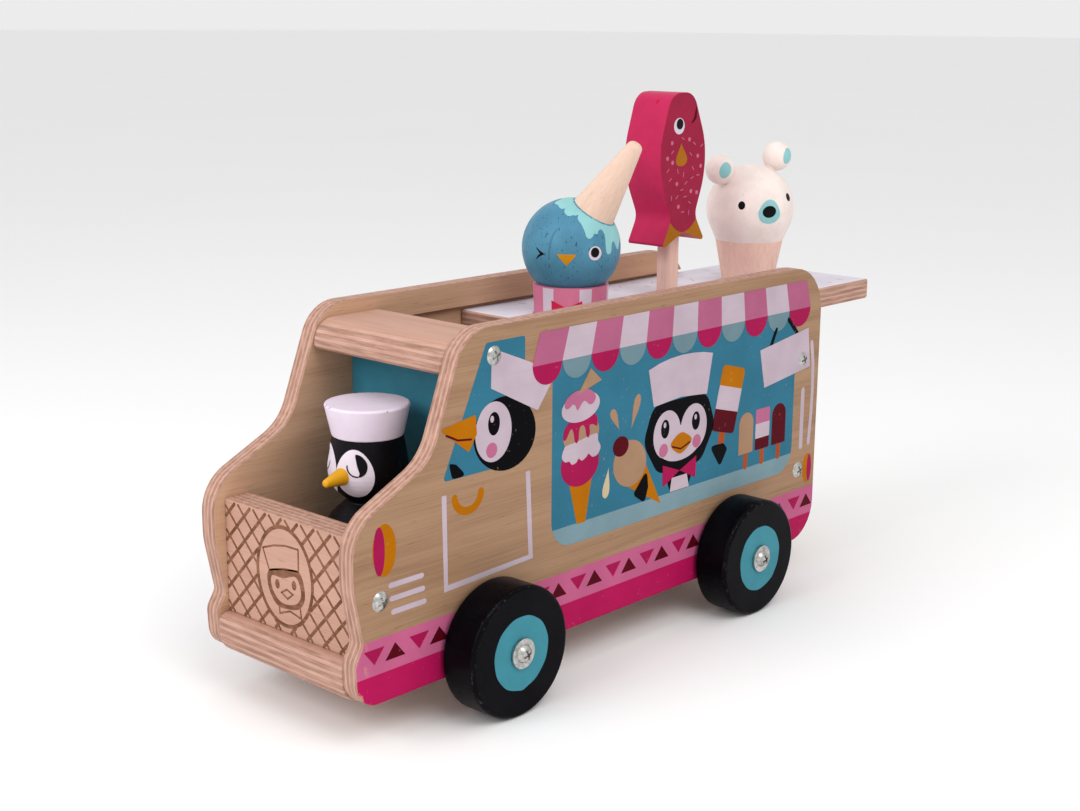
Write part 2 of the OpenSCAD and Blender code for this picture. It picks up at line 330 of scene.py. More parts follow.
def darker(colour, share):
    return tuple(c * share for c in colour[:3]) + (1.0,)


def stretched(along, lengthwise, across):
    """Noise scales for fibres that run along one axis."""
    return tuple(lengthwise if axis == along else across for axis in range(3))


class Material:
    """A Principled material, with short calls that add its nodes."""

    def __init__(self, name, **constants):
        self.material = bpy.data.materials.new(name)
        self.material.use_nodes = True
        self.tree = self.material.node_tree
        self.shader = self.tree.nodes["Principled BSDF"]
        for socket, value in constants.items():
            self.shader.inputs[socket.replace("_", " ")].default_value = value
        coordinates = self.tree.nodes.new("ShaderNodeTexCoord")
        self.place = coordinates.outputs["Object"]
        self.facing = coordinates.outputs["Normal"]
        self.relief = None

    def node(self, kind, inputs, **settings):
        node = self.tree.nodes.new(kind)
        for name, value in settings.items():
            setattr(node, name, value)
        for socket, value in inputs.items():
            if isinstance(value, bpy.types.NodeSocket):
                self.tree.links.new(value, node.inputs[socket])
            else:
                node.inputs[socket].default_value = value
        return node

    def turn(self, axis, angle):
        """Turns the coordinates, so that what follows runs in another direction."""
        turned = self.node("ShaderNodeVectorRotate", {"Vector": self.place, "Axis": axis, "Angle": angle})
        self.place = turned.outputs[0]

    def noise(self, scale, detail=2.0, rough=0.5, warp=0.0, shift=0.0):
        scale = scale if isinstance(scale, tuple) else (scale,) * 3
        placing = {"Vector": self.place, "Scale": scale, "Location": (shift,) * 3}
        spot = self.node("ShaderNodeMapping", placing).outputs[0]
        look = {"Vector": spot, "Scale": 1.0, "Detail": detail, "Roughness": rough, "Distortion": warp}
        return self.node("ShaderNodeTexNoise", look).outputs["Fac"]

    def math(self, operation, a, b=0.0):
        return self.node("ShaderNodeMath", {0: a, 1: b}, operation=operation).outputs[0]

    def plus(self, a, b):
        return self.math("ADD", a, b)

    def minus(self, a, b):
        return self.math("SUBTRACT", a, b)

    def times(self, a, b):
        return self.math("MULTIPLY", a, b)

    def size(self, a):
        return self.math("ABSOLUTE", a)

    def away_from(self, centre, first, second):
        """The distance from a centre line, measured across these two axes."""
        a, b = (self.minus(self.part(self.place, axis), centre[axis]) for axis in (first, second))
        return self.math("SQRT", self.plus(self.times(a, a), self.times(b, b)))

    def step(self, value, low, high, to_low=0.0, to_high=1.0):
        """A soft step of a value between two limits."""
        limits = {"Value": value, "From Min": low, "From Max": high, "To Min": to_low, "To Max": to_high}
        return self.node("ShaderNodeMapRange", limits, interpolation_type="SMOOTHSTEP").outputs[0]

    def mix(self, share, a, b):
        return self.node("ShaderNodeMix", {0: share, 6: a, 7: b}, data_type="RGBA").outputs[2]

    def part(self, vector, axis):
        return self.node("ShaderNodeSeparateXYZ", {0: vector}).outputs[axis]

    def colour(self, socket):
        self.tree.links.new(socket, self.shader.inputs["Base Color"])

    def roughness(self, socket):
        self.tree.links.new(socket, self.shader.inputs["Roughness"])

    def bump(self, height, depth, strength=1.0):
        """Adds fine relief; depth is in millimetres."""
        inputs = {"Height": height, "Distance": depth * MM, "Strength": strength}
        if self.relief:
            inputs["Normal"] = self.relief
        self.relief = self.node("ShaderNodeBump", inputs).outputs[0]
        self.tree.links.new(self.relief, self.shader.inputs["Normal"])


def wood_grain(m, pale, dark, along, fibre_wide=1500):
    """Fine fibres, a soft broad figure and short dark pores along one axis. Returns colour and height."""
    fibre = m.noise(stretched(along, 26, fibre_wide), detail=3, rough=0.6)
    figure = m.noise(stretched(along, 7, 75), detail=3, warp=0.8, shift=3.1)
    pore = m.step(m.noise(stretched(along, 110, 1500), detail=1, shift=7.7), 0.68, 0.76)
    tone = m.plus(m.times(fibre, 0.55), m.times(figure, 0.75))
    colour = m.mix(m.step(tone, 0.42, 0.95), pale, dark)
    return m.mix(m.times(pore, 0.4), colour, darker(dark, 0.55)), fibre


def make_plywood(name, board, across, plies, face_tones, along, top_print=None, lit_inner_tones=None):
    """A plywood board: grain on its faces, plies on its edges. across is the axis through the plies. Given
    inner tones, the faces that look into the truck get them as painted light.
    """
    light, tan, brown = EDGE_TONES
    m = Material(name, Roughness=0.55, Specular_IOR_Level=0.15)
    low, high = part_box(board)
    face, fibre = wood_grain(m, *face_tones, along)
    spot = m.part(m.place, across)
    start, thick = low[across], high[across] - low[across]
    if across == 1 and low.y * high.y > 0:
        spot = m.size(spot)
        start = min(abs(low.y), abs(high.y))
    wander = m.times(m.noise((14, 14, 14), detail=1), 0.35)
    depth = m.plus(m.times(m.minus(spot, start), plies / thick), wander)
    wave = m.math("PINGPONG", m.plus(depth, 0.32), 1.0)
    second = m.step(wave, 0.3, 0.66, 0.0, 0.6)
    glue = m.step(m.size(m.minus(wave, 0.5)), 0.0, 0.16, 1.0, 0.0)
    streak = m.noise((60, 60, 700) if across == 2 else (420, 420, 60), detail=3, rough=0.65)
    pale = m.mix(m.step(streak, 0.3, 0.75), light, tan)
    dark = m.mix(m.step(streak, 0.25, 0.7), tan, brown)
    edge = m.mix(second, pale, dark)
    edge = m.mix(m.times(glue, 0.3), edge, brown)
    towards = m.part(m.facing, across)
    flat = m.step(m.size(towards), 0.78, 0.9)
    # Faces that look into the truck get the lighter inner tones as painted light.
    if lit_inner_tones:
        inwards = m.times(towards, -1 if low[across] > 0 else 1)
        face = m.mix(m.step(inwards, 0.6, 0.8), face, wood_grain(m, *lit_inner_tones, along)[0])
    if top_print:
        face = m.mix(m.step(towards, 0.6, 0.8), face, printed_tone(m, top_print, fibre))
    m.colour(m.mix(flat, edge, face))
    m.roughness(m.step(fibre, 0.2, 0.8, 0.48, 0.64))
    m.bump(fibre, 0.02, 0.5)
    m.bump(m.times(m.minus(1.0, flat), m.plus(glue, streak)), 0.05, 0.5)
    return m.material


def printed_tone(m, colour, fibre):
    """Ink on wood: a little uneven, with the fibres just showing through and rubbed in a few specks."""
    deep = darker(colour, 0.86)
    uneven = m.mix(m.step(m.noise(45, detail=3), 0.3, 0.75), colour, deep)
    lined = m.mix(m.step(fibre, 0.35, 0.8, 0.0, 0.35), uneven, deep)
    speck = m.step(m.noise(520, detail=1, shift=5.0), 0.73, 0.78)
    return m.mix(m.times(speck, 0.16), lined, tint(200, 165, 138))


def make_print(name, colour, worn_nose=False):
    """Ink with its fibres along the truck, chipped at the very nose where asked."""
    roughness = 0.42
    m = Material(name, Roughness=roughness, Specular_IOR_Level=0.03)
    fibre = m.noise(stretched(0, 26, 1500), detail=3, rough=0.6)
    tone = printed_tone(m, colour, fibre)
    if worn_nose:
        ahead = m.step(m.part(m.place, 0), NOSE - 9 * MM, NOSE - 0.5 * MM)
        chips = m.step(m.noise((260, 260, 160), detail=3, rough=0.7), 0.56, 0.6)
        tone = m.mix(m.times(ahead, chips), tone, tint(190, 150, 126))
    m.colour(tone)
    m.roughness(m.step(fibre, 0.2, 0.8, roughness - 0.05, roughness + 0.08))
    m.bump(fibre, 0.015, 0.4)
    return m.material


def make_paint(name, colour, roughness=0.4, coat=0.0, along=2, grain=0.35, speck=None, mottle=0.12,
               rare=0.71):
    """Brushed or dipped paint over wood: slightly uneven, with soft grain, and specks; higher is rarer."""
    m = Material(name, Roughness=roughness, Specular_IOR_Level=0.1, Coat_Weight=coat, Coat_Roughness=0.18)
    deep = darker(colour, 1 - mottle)
    cloud = m.noise(70, detail=4, rough=0.6)
    fibre = m.noise(stretched(along, 60, 900), detail=2)
    tone = m.mix(m.step(cloud, 0.3, 0.7), colour, deep)
    if speck:
        spots = m.step(m.noise(stretched(along, 420, 900), detail=1, shift=2.0), rare, rare + 0.06)
        tone = m.mix(m.times(spots, 0.7), tone, speck)
    m.colour(tone)
    m.roughness(m.step(cloud, 0.2, 0.8, roughness - 0.06, roughness + 0.1))
    m.bump(fibre, 0.03 * grain, 0.8)
    m.bump(m.noise(900, detail=2), 0.02, 0.35)
    return m.material


def make_bare_wood(name, pale, dark, axis=None, angle=0.0):
    """Turned or cut solid wood with upright fibres, or with fibres turned to lie along a leaning piece."""
    m = Material(name, Roughness=0.6, Specular_IOR_Level=0.2)
    if axis:
        m.turn(axis, angle)
    colour, fibre = wood_grain(m, pale, dark, 2, fibre_wide=1100)
    m.colour(colour)
    m.roughness(m.step(fibre, 0.2, 0.8, 0.52, 0.68))
    m.bump(fibre, 0.03, 0.6)
    return m.material


def make_wheel_paint(name, wheel):
    """Gloss black paint, scuffed grey round the rims and lightly dusty."""
    m = Material(name, Roughness=0.3, Specular_IOR_Level=0.04)
    out = m.away_from(middle(wheel), 0, 2)
    y = m.size(m.part(m.place, 1))
    low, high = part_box(wheel)
    rim = abs(high.x - low.x) / 2
    outer = max(abs(low.y), abs(high.y))
    near_rim = m.step(out, rim - 2.6 * MM, rim - 0.7 * MM)
    near_face = m.step(y, outer - 2.6 * MM, outer - 0.7 * MM)
    scratch = m.step(m.noise((300, 900, 300), detail=4, rough=0.7), 0.57, 0.66)
    edge = m.times(m.times(near_rim, near_face), scratch)
    dust = m.times(m.step(m.noise(330, detail=3, rough=0.7, shift=4.0), 0.68, 0.78), 0.1)
    cloud = m.noise(60, detail=4)
    black = m.mix(m.step(cloud, 0.3, 0.8), tint(6, 5, 9), tint(12, 11, 15))
    worn = m.mix(m.plus(m.times(edge, 0.35), dust), black, tint(96, 88, 86))
    m.colour(worn)
    m.roughness(m.step(m.plus(edge, cloud), 0.3, 1.4, 0.26, 0.55))
    m.bump(m.noise(500, detail=3), 0.03, 0.4)
    m.bump(scratch, 0.02, 0.3)
    return m.material


def make_steel(name, roughness=0.3):
    m = Material(name, Metallic=1.0, Roughness=roughness)
    cloud = m.noise(500, detail=4, rough=0.65)
    m.colour(m.mix(m.step(cloud, 0.3, 0.75), tint(205, 204, 200), tint(150, 148, 145)))
    m.roughness(m.step(cloud, 0.25, 0.8, roughness - 0.08, roughness + 0.15))
    m.bump(m.noise(1400, detail=2), 0.02, 0.5)
    return m.material


def make_burnt(name):
    """Lines burnt into pale wood."""
    m = Material(name, Roughness=0.75, Specular_IOR_Level=0.1)
    fibre = m.noise(stretched(1, 40, 1400), detail=3)
    cloud = m.noise(160, detail=3)
    shade = m.plus(m.times(fibre, 0.5), m.times(cloud, 0.5))
    m.colour(m.mix(m.step(shade, 0.35, 0.68), tint(100, 64, 46), tint(140, 98, 74)))
    m.bump(fibre, 0.05, 0.7)
    return m.material


def make_hat_paint(name):
    """White satin paint with a few chips on the rim that show the dark ground."""
    m = Material(name, Roughness=0.38, Specular_IOR_Level=0.2)
    low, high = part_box("driver_hat")
    out = m.away_from((low + high) / 2, 0, 1)
    rim = (high.x - low.x) / 2
    ring = m.times(m.step(out, rim - 1.5 * MM, rim - 0.7 * MM),
                  m.step(m.part(m.place, 2), high.z - 1.5 * MM, high.z - 0.7 * MM))
    chip = m.step(m.noise(230, detail=4, rough=0.75, shift=1.6), 0.6, 0.62)
    cloud = m.noise(60, detail=4, rough=0.6)
    white = m.mix(m.step(cloud, 0.3, 0.75), tint(228, 214, 230), tint(218, 204, 220))
    grime = m.times(m.step(m.noise(260, detail=3, shift=9.0), 0.66, 0.76), 0.18)
    white = m.mix(grime, white, tint(120, 105, 110))
    m.colour(m.mix(m.times(ring, chip), white, tint(24, 20, 26)))
    m.roughness(m.step(cloud, 0.2, 0.8, 0.32, 0.5))
    m.bump(m.noise(700, detail=3), 0.03, 0.4)
    return m.material


# The side walls and the rear panel have darker tones than the same birch in PALE_TONES. This is painted shade
# on those faces.
SHADED_FACE_TONES = (tint(165, 131, 102), tint(141, 107, 81))
# Lighter birch tones for the walls' inner faces. This is painted light, not a different wood.
LIT_INNER_TONES = (tint(206, 166, 136), tint(180, 140, 110))
PALE_TONES = (tint(191, 150, 132), tint(174, 132, 114))
EDGE_TONES = (tint(198, 158, 141), tint(173, 132, 115), tint(121, 87, 73))

INK = {name: make_print("ink_" + name, colour) for name, colour in {
    "pink": tint(174, 95, 127), "crimson": tint(163, 22, 77), "maroon": tint(84, 7, 22),
    "blue": tint(51, 113, 137), "counter": tint(123, 150, 159), "white": tint(190, 173, 184),
    "grey_blue": tint(109, 136, 145), "ochre": tint(179, 106, 2), "rust": tint(167, 77, 35),
    "cream": tint(203, 185, 151), "black": tint(5, 5, 9), "rose": tint(180, 102, 135)}.items()}
INK["band_pink"] = make_print("ink_band_pink", tint(192, 96, 135), worn_nose=True)
INK["band_crimson"] = make_print("ink_band_crimson", tint(178, 22, 84), worn_nose=True)
INK["wood"] = make_print("ink_bare_wood", tint(164, 129, 102))
BURNT = make_burnt("burnt_line")
STEEL = make_steel("zinc_plated_steel")
BARE = make_bare_wood("turned_beech", tint(236, 198, 183), tint(216, 176, 160))
BLACK = make_paint("black_satin", tint(12, 10, 15), roughness=0.36, speck=tint(46, 42, 46))
EYE_BLACK = make_paint("eye_black", tint(8, 7, 10), roughness=0.3)
EYE_WHITE = make_paint("eye_white", tint(212, 202, 212), roughness=0.4)
YELLOW = make_paint("beak_yellow", tint(222, 160, 24), roughness=0.28, coat=0.3)
BEAK_ORANGE = make_paint("beak_orange", tint(200, 134, 16), roughness=0.4)
MINT = make_paint("mint_icing", tint(142, 196, 198), roughness=0.42)
FIN_ORANGE = make_paint("fin_orange", tint(166, 101, 5), roughness=0.4)
HUB_TEAL = make_paint("hub_teal", tint(60, 136, 151), roughness=0.34, along=1)


def dress(node, material):
    """Gives a CAD piece its material."""
    slots = frame["nodes"][node].data.materials
    slots.clear()
    slots.append(material)


# ---- Boards: plywood with rounded arrises ----

def outer_edges(mesh):
    """Sharp convex edges, apart from those round small holes."""
    least, smallest = math.radians(40), 20 * MM
    sharp = [e for e in mesh.edges if e.is_manifold and e.is_convex and e.calc_face_angle() > least]
    group = {v: v for e in sharp for v in e.verts}

    def root(v):
        while group[v] is not v:
            v = group[v]
        return v

    for edge in sharp:
        group[root(edge.verts[0])] = root(edge.verts[1])
    members = {}
    for v in group:
        members.setdefault(root(v), []).append(v.co)
    large = set()
    for key, spots in members.items():
        size = Vector([max(s[i] for s in spots) - min(s[i] for s in spots) for i in range(3)])
        if size.length > smallest:
            large.add(key)
    return [e for e in sharp if root(e.verts[0]) in large]


def make_board(node, radius, material):
    """Stands for a CAD board: the same shape with its arrises sanded round."""
    mesh = bmesh.new()
    mesh.from_mesh(frame["nodes"][node].data)
    bmesh.ops.remove_doubles(mesh, verts=mesh.verts, dist=1e-6)
    bmesh.ops.dissolve_limit(mesh, angle_limit=math.radians(1), verts=mesh.verts, edges=mesh.edges)
    bmesh.ops.bevel(mesh, geom=outer_edges(mesh), offset=radius * MM, offset_type="OFFSET", segments=3,
                    profile=0.5, affect="EDGES", clamp_overlap=True)
    body = frame["nodes"][node]["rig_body"]
    board = make_piece(node + "_wood", mesh, [material], body, sharp=50)
    shading = board.modifiers.new("weighted", "WEIGHTED_NORMAL")
    shading.keep_sharp = True
    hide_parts(node)
    return board


def make_boards():
    boards = {}
    for side in ("left", "right"):
        # The walls' outer faces carry painted shade in their darker tones. Their inner faces carry painted
        # light in their lighter tones.
        ply = make_plywood(side + "_wall_ply", side + "_wall", 1, 7, SHADED_FACE_TONES, 0, lit_inner_tones=LIT_INNER_TONES)
        boards[side] = make_board(side + "_wall", 1.5, ply)
    # Material, board, arris, axis through the plies, number of plies, tones, axis of the grain
    for name, node, arris, across, plies, tones, along, slot in (
            ("floor_ply", "floor_board", 0.8, 2, 11, PALE_TONES, 0, "ply_board"),
            ("panel_ply", "front_panel", 0.7, 0, 9, PALE_TONES, 1, "front_face"),
            ("roof_ply", "roof_block", 2.2, 2, 9, PALE_TONES, 1, "ply_board"),
            ("rear_ply", "rear_panel", 0.7, 0, 7, SHADED_FACE_TONES, 1, "birch_face")):
        make_board(node, arris, make_plywood(name, node, across, plies, tones, along))
    tray_ply = make_plywood("tray_ply", "tray", 2, 8, PALE_TONES, 0, top_print=tint(222, 217, 228))
    make_board("tray", 0.6, tray_ply)
    teal = make_paint("cab_teal", tint(60, 130, 152), roughness=0.45, along=1, grain=0.8)
    make_board("cab_partition", 0.5, teal)
    return boards


# ---- Artwork of the side walls ----

BAND_LOW, BAND_MID, BAND_HIGH = 20, 33.7, 49.2


def paint_band(name, board, side, low, high, material):
    """Paint over the wall's face and its rounded arris, between two heights."""
    mesh = bmesh.new()
    mesh.from_mesh(board.data)
    away = [f for f in mesh.faces if f.normal.y * side < 0.3]
    bmesh.ops.delete(mesh, geom=away, context="FACES")
    bmesh.ops.triangulate(mesh, faces=mesh.faces)
    for height, keep_above in ((low, True), (high, False)):
        everything = mesh.verts[:] + mesh.edges[:] + mesh.faces[:]
        bmesh.ops.bisect_plane(mesh, geom=everything, plane_co=(0, 0, height * MM), plane_no=(0, 0, 1),
                               dist=1e-6, clear_inner=keep_above, clear_outer=not keep_above)
    mesh.normal_update()
    shell = bmesh.new()
    thick = PRINT_STEP * MM
    top = {v: shell.verts.new(v.co + v.normal * thick) for v in mesh.verts}
    bottom = {v: shell.verts.new(v.co - v.normal * SUNK * MM) for v in mesh.verts}
    close_slab(shell, mesh, top, bottom)
    mesh.free()
    make_piece(name, shell, [material], "truck")


def paint_triangles(art):
    """Pairs of triangles along the light band, one down and one up."""
    pairs, pitch, half, low, high = 13, 25.35, 5.6, 38.4, 45.2
    for i in range(pairs):
        down, up = 322.6 - pitch * i, 311 - pitch * i
        art.add("crimson", [(down - half, high), (down + half, high), (down, low)], 3)
        art.add("maroon", [(up - half, low), (up + half, low), (up, high)], 3)


def paint_lamp(art, u, v, wide, high, towards):
    """A two-colour lamp; its crimson part lies towards the given end of the truck."""
    art.add("ochre", ellipse(u, v, wide, high), 1)
    centre, reach = u + towards * wide * 0.42, high * 0.93
    back = arc_line(centre, v, -towards * wide * 0.46, reach, -90, 180)
    front = arc_line(centre, v, towards * wide * 0.5, reach, 90, -180)
    art.add("crimson", back + front[1:-1], 2)


def paint_nose(art):
    paint_lamp(art, 316.2, 86.6, 6.5, 11.3, 1)
    for front, rear, height in ((313, 295.4, 70.6), (312.6, 294.8, 64.7), (311.8, 294, 58.8)):
        art.add("white", stroke([(front, height), (rear, height)], 2.4), 1)


def paint_door(art):
    """The door's outline, open at the top, as one line of even width, and its round handle."""
    outside = [(283.6, 102.6), (282.5, 59.5), (227, 61.6), (229.2, 103.1)]
    inside = [(232, 103), (229.9, 63.8), (280.2, 62.2), (280.8, 102.5)]
    art.add("white", outside + inside, 1)
    art.add("ochre", stroke(arc_line(268, 100, 7.9, 7, 180, 180), 3.6), 1)


def paint_cab_window(art):
    """A plain penguin with a cook's hat, seen from the side."""
    glass = [(256.8, 164.7), (232.7, 164.7), (232.7, 140), (240, 108.6), (283, 108.6)]
    art.add("blue", rounded(glass, 1.8), 1)
    art.add("black", rounded([(279.4, 116.2), (275, 114.8), (268.6, 108.7), (277.4, 108.7)], 2.4), 2)
    art.add("black", ellipse(245.2, 123, 19.6, 16.6, tilt=12), 2)
    art.add("white", ellipse(252.4, 125, 11.2, 13.4), 3)
    art.add("black", ellipse(252.2, 128.6, 3.6, 5.2), 4)
    art.add("white", ellipse(253.4, 130.8, 1.1, 1.5), 5)
    art.add("rose", ellipse(253.6, 117, 3.4, 3.4), 4)
    art.add("ochre", rounded([(284.2, 131.3), (263.4, 134.6), (262.6, 126), (267.6, 118.8)], 1), 4)
    art.add("maroon", stroke([(280.6, 128.4), (274, 125.2), (266, 124.2)], 0.9), 5)
    hat = rounded([(254, 144.4), (253.6, 157), (249, 160.2), (228.4, 152), (216, 140.6), (224.6, 129.8)], 0.8)
    art.add("white", hat, 4)


def paint_window(art):
    """The serving window with its counter."""
    left, right, low, sill, top, radius = 214.8, 22.8, 61.9, 71.3, 151, 13.5
    glass = arc_line(left - radius, low + radius, radius, radius, 0, -90)
    glass += arc_line(right + radius, low + radius, radius, radius, -90, -90)
    art.add("blue", glass + [(right, top), (left, top)], 1)
    start = math.degrees(math.asin((sill - low) / radius - 1))
    sweep = -90 - start
    counter = arc_line(left - radius, low + radius, radius, radius, start, sweep)
    counter += arc_line(right + radius, low + radius, radius, radius, -90, sweep)
    art.add("counter", counter, 2)


def paint_awning(art):
    """Eleven stripes that spread downwards, each with a round flap."""
    stripes, top, low, flap, seam = 11, 164.7, 149.9, 9.4, 0.25
    centre_top, centre_low, pitch_top, pitch_low = 119, 119.4, 18.9, 19.8
    for i in range(stripes):
        edge = stripes / 2 - i
        a, b = centre_top + edge * pitch_top, centre_top + (edge - 1) * pitch_top
        c, d = centre_low + (edge - 1) * pitch_low, centre_low + edge * pitch_low
        art.add("white" if i % 2 else "pink", [(a, top), (b, top), (c, low), (d, low)], 5)
        middle_u, half = (c + d) / 2, (d - c) / 2 - seam
        art.add("grey_blue" if i % 2 else "crimson",
                arc_line(middle_u, low, half, flap, 0, -180, steps=24), 5)


def paint_sundae(art):
    """Two scoops in a cone, with cream, syrup, a topping and a wafer."""
    art.add("ochre", [(203, 91), (187.4, 91), (191.4, 70.8), (197.4, 70.8)], 3)
    art.add("crimson", ellipse(195.6, 99.6, 13.2, 10.8), 4)
    art.add("wood", ellipse(195, 113.6, 12.4, 8.6, tilt=-3), 4)
    cream = smooth([(206.8, 108.6), (208.2, 104.6), (206, 102.2), (203.2, 102), (201.4, 100.2),
                    (198.4, 100.6), (196.8, 102.2), (194.4, 100.8), (191.4, 102), (189.8, 103.2),
                    (187, 101.2), (183.4, 101.8), (181.4, 105), (183.2, 108.4), (184, 111.8), (190, 111.6),
                    (198, 110.4), (205, 109.8)])
    art.add("white", cream, 5)
    syrup = smooth([(204.8, 119.4), (207.4, 114), (206.6, 112.4), (205, 113.4), (202.4, 117), (200.6, 115.4),
                    (199.6, 111), (198.2, 109.8), (197, 111.4), (196.4, 116.2), (194.2, 117.6),
                    (192.4, 115.8), (191.4, 111.8), (189.8, 111.2), (189.2, 113.6), (189.4, 116.6),
                    (187, 116.8), (184.2, 115.6), (184, 118.8), (186, 121.4), (195, 121.6)])
    art.add("crimson", syrup, 6)
    art.add("white", ellipse(195.6, 126.4, 13.1, 6.9, tilt=-3), 7)
    topping = smooth([(206.8, 128.6), (205.2, 131.6), (200.6, 133.8), (195.6, 134.4), (190.6, 134),
                      (186.8, 131.8), (185.4, 129.4), (187, 127), (189.6, 126.6), (191.8, 128.2),
                      (193.6, 128.8), (195.4, 127.6), (198, 125.2), (199.6, 127.6), (201.4, 128.4),
                      (203.4, 127.2), (205.6, 127)])
    art.add("rose", topping, 8)
    art.add("wood", [(197.8, 132.4), (189, 143.4), (181.4, 136.9)], 9)


def paint_splash(art):
    """A dropped scoop with its cone, a cherry and three drops."""
    art.add("wood", drop((167.8, 110.4), (173.6, 121.2), 4.6), 3)
    art.add("wood", drop((159.2, 109.2), (153.6, 125.6), 4.8), 3)
    art.add("cream", drop((175.2, 93.6), (177.6, 79), 5), 3)
    art.add("ochre", rounded([(148, 90.8), (135, 67.2), (161, 81.2)], 0.6), 3)
    art.add("wood", ellipse(159.6, 92.6, 12.4, 11.4, tilt=20), 4)
    art.add("maroon", ellipse(166.6, 102.2, 5.7, 4.9), 5)
    art.add("black", rounded([(156.9, 76.4), (148, 70.4), (145.4, 78), (146.6, 87)], 2.2), 5)


def paint_vendor(art):
    """A plain penguin with a cook's hat behind the counter."""
    hat_top = [(96.4, 137.2), (104, 138.7), (112, 139.5), (121, 139.8), (130, 139.3), (138.6, 138),
               (146.8, 135.8)]
    art.add("white", [(142.4, 117.2), (121, 118.8), (100.4, 117)] + hat_top, 5)
    art.add("black", rounded([(133.4, 84), (128, 71.4), (114, 71.4), (108, 84)], 1), 3)
    art.add("black", rounded([(142.6, 118), (149.8, 100), (138, 82.6), (104, 82.6), (92.8, 100),
                                   (100, 118)], 10), 4)
    for side in (-1, 1):
        art.add("white", ellipse(121 + side * 10.6, 101.6, 10.6, 12), 5)
        art.add("black", ellipse(121 + side * 12.2, 104.6, 3.2, 4.7), 7)
        art.add("white", ellipse(121.4 + side * 12.2, 106.6, 1, 1.4), 8)
        art.add("rose", ellipse(121 + side * 13.2, 94, 3.4, 3.4), 7)
        wing = [(121, 81.4), (121 + side * 13.4, 86.4), (121 + side * 13, 75.2)]
        art.add("crimson", wing, 6)
    art.add("white", ellipse(121, 95.6, 17, 9), 6)
    art.add("white", rounded([(127, 78.6), (128.4, 71.6), (113, 71.6), (115, 78.6)], 0.6), 5)
    beak = smooth([(128.6, 95.2), (124.8, 99.2), (120.4, 100.6), (116, 99.2), (112, 95.2), (120.6, 90)])
    art.add("ochre", beak, 8)
    art.add("maroon", stroke([(127.4, 94.6), (120.6, 92.4), (113.2, 94.6)], 0.9), 9)


def lolly_across(foot, head, half, from_share, to_share):
    """A slice of a slanted lolly, between two shares of its height."""
    foot, head = Vector(foot), Vector(head)
    along = head - foot
    across = Vector((-along.y, along.x)).normalized() * half
    low, high = foot + along * from_share, foot + along * to_share
    return [tuple(p) for p in (low + across, low - across, high - across, high + across)]


def paint_lollies(art):
    """A large slanted lolly and three small ones, the middle one in three bands."""
    foot, head, half = (86, 94.4), (77.6, 127.4), 9.7
    art.add("rust", stroke([(86.2, 95), (87.4, 87.6)], 5), 3)
    art.add("maroon", rounded(lolly_across(foot, head, half, 0, 0.42), 2.6), 4)
    art.add("ochre", rounded(lolly_across(foot, head, half, 0.58, 1), 2.6), 4)
    art.add("white", lolly_across(foot, head, half, 0.335, 0.69), 5)
    art.add("black", rounded([(96.4, 88.8), (85, 88.6), (81.6, 85), (87.4, 76.6)], 2), 5)
    low, high = 79.2, 101.1
    half = 6.2
    for u, kind in ((65.5, "wood"), (50.9, None), (36, "maroon")):
        art.add("rust", stroke([(u - 0.2, low + 1), (u - 0.2, 72.4)], 3.6), 3)
        if kind:
            arch = arc_line(u, high - half, half, half, 0, 180)
            art.add(kind, [(u - half, low), (u + half, low)] + arch, 4)
            continue
        for a, b, ink, level in ((low, 86.6, "maroon", 4), (92.2, high, "rose", 4), (85.4, 93.3, "white", 5)):
            slab = [(u - half, a), (u + half, a), (u + half, b), (u - half, b)]
            art.add(ink, slab if ink == "white" else rounded(slab, 1.2), level)


def paint_sign(art):
    """A blank sign that hangs from the awning on two strings."""
    art.add("black", stroke([(41.6, 141.6), (45.8, 133.6)], 2.2), 6)
    art.add("black", stroke([(30.8, 145.6), (21.6, 136.6)], 2.2), 6)
    art.add("white", [(55.6, 132.4), (50.8, 111.9), (8.8, 117.2), (11.8, 138.6)], 7)


def paint_tail(art):
    art.add("white", stroke([(14.1, 104.6), (14.1, 73.4)], 3.3), 1)
    art.add("white", stroke([(7.6, 130), (5.6, 118), (5, 104), (5.4, 90), (6.7, 74.2)], 2.7), 1)
    paint_lamp(art, 7, 59.8, 4.3, 8.2, -1)


def paint_wall(name, side, board):
    paint_band(f"{name}_band_crimson", board, side, BAND_LOW, BAND_MID, INK["band_crimson"])
    paint_band(f"{name}_band_pink", board, side, BAND_MID, BAND_HIGH, INK["band_pink"])
    painters = {"triangles": paint_triangles, "nose_print": paint_nose, "door_print": paint_door,
                "cab_window_print": paint_cab_window, "window_print": paint_window,
                "awning_print": paint_awning, "sundae_print": paint_sundae, "splash_print": paint_splash,
                "vendor_print": paint_vendor, "lollies_print": paint_lollies, "sign_print": paint_sign,
                "tail_print": paint_tail}
    for title, painter in painters.items():
        art = Artwork(f"{name}_{title}", "truck", on_wall(side))
        painter(art)
        art.finish()


# ---- Burnt artwork of the front panel ----

# Centre and half sizes of the oval badge
OVAL = (-1, 65.2, 19.4, 23)


